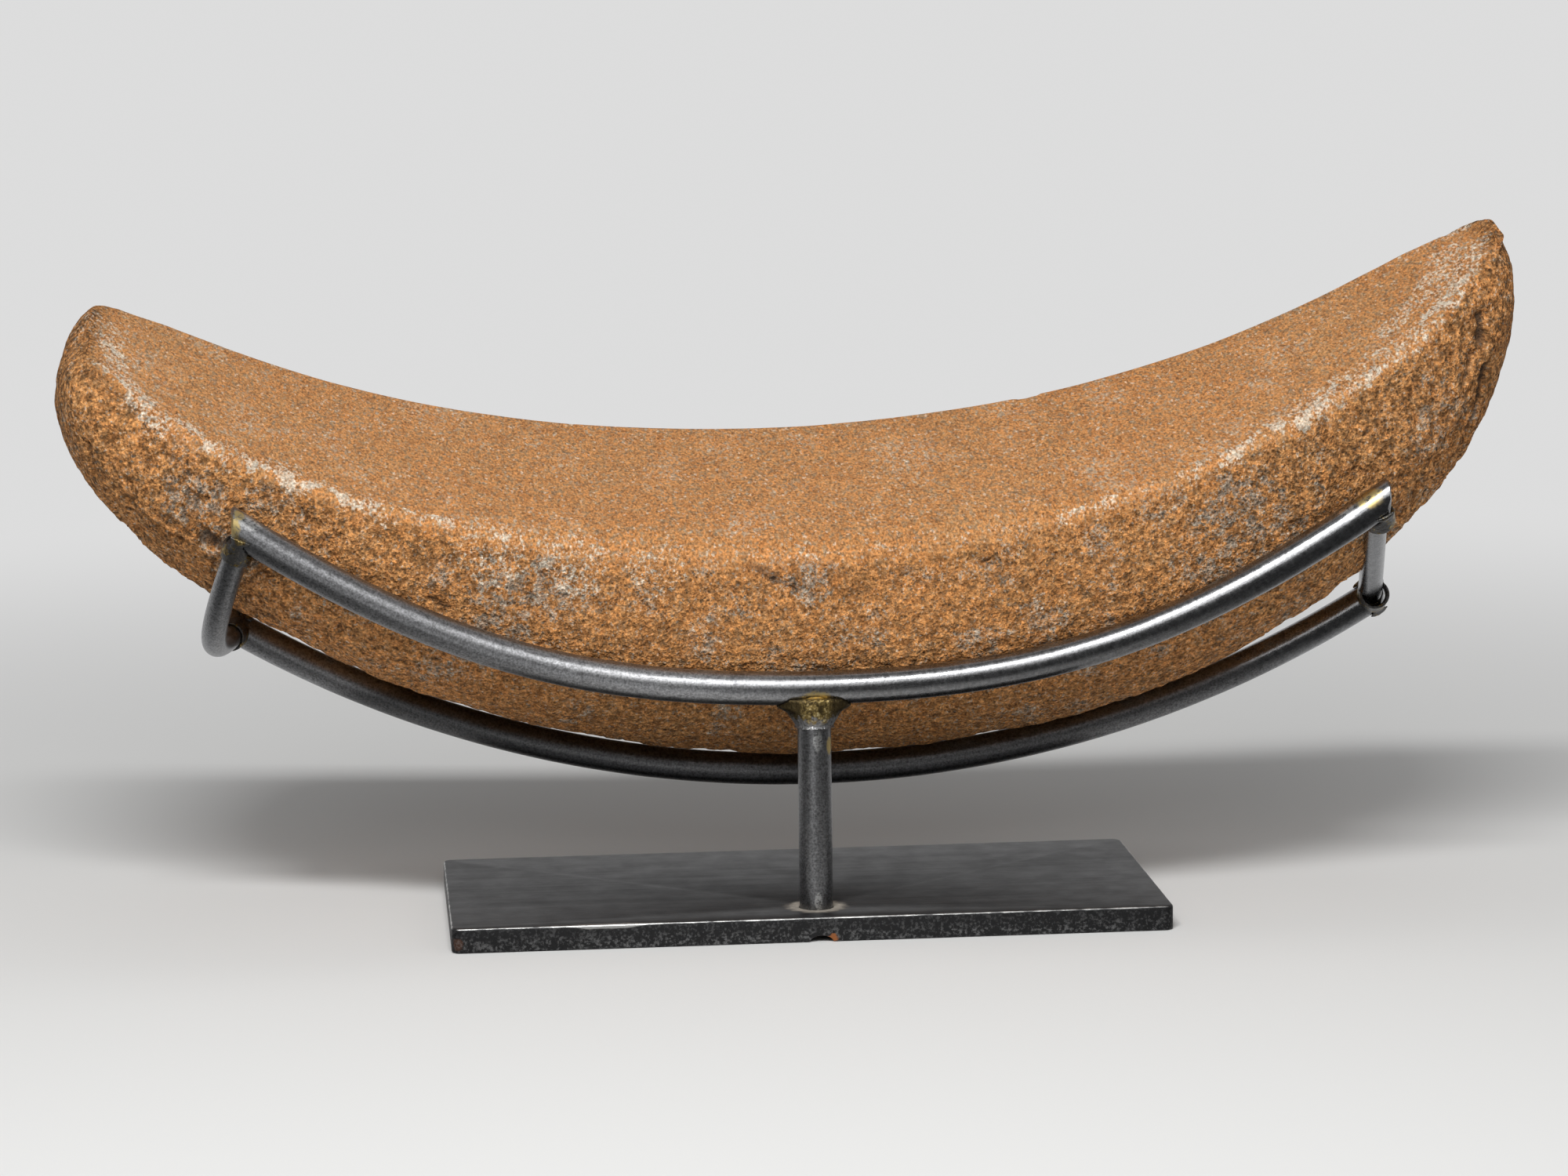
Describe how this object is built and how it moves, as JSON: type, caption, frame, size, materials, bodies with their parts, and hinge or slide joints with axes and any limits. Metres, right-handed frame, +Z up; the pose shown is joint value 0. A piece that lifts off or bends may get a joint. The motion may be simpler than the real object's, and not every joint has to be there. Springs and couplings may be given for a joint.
{
  "type": "stone grinding mill",
  "caption": "Long boat-shaped lower stone of a hand mill, hollow along its length, lying loose in a brazed round-bar cradle on a post and a flat steel base plate.",
  "frame": {"origin": "middle of the base plate's underside", "axes": "+X along the plate and the stone, to the right in front view; +Y from the post's side of the plate to the back; +Z up"},
  "size_m": [0.5609, 0.1849, 0.2613],
  "materials": {
    "sandstone": "fine-grained orange-brown sandstone, worn smooth on the face and pecked rough on the flanks",
    "plate_steel": "dark cold-rolled plate with worn bright edges",
    "rod_steel": "bare drawn bar with fine scratches, satin gloss",
    "braze": "olive-gold brazing metal with soft ripples",
    "weld": "ground plug weld with a little rust"
  },
  "bodies": {
    "stand": {"base_plate": "plate_steel", "post": "rod_steel", "front_rail": "rod_steel", "back_rail": "rod_steel", "left_end_bar": "rod_steel", "right_end_bar": "rod_steel", "post_top_braze": "braze", "front_left_braze": "braze", "front_right_braze": "braze", "back_left_braze": "braze", "back_right_braze": "braze", "post_foot_weld": "weld"},
    "stone": {"grinding_stone": "sandstone"}
  },
  "joints": [
    {"name": "stone_lift", "type": "slide", "parent": "stand", "child": "stone", "axis": [0, 0, 1], "range_m": [0, 0.12]}
  ]
}
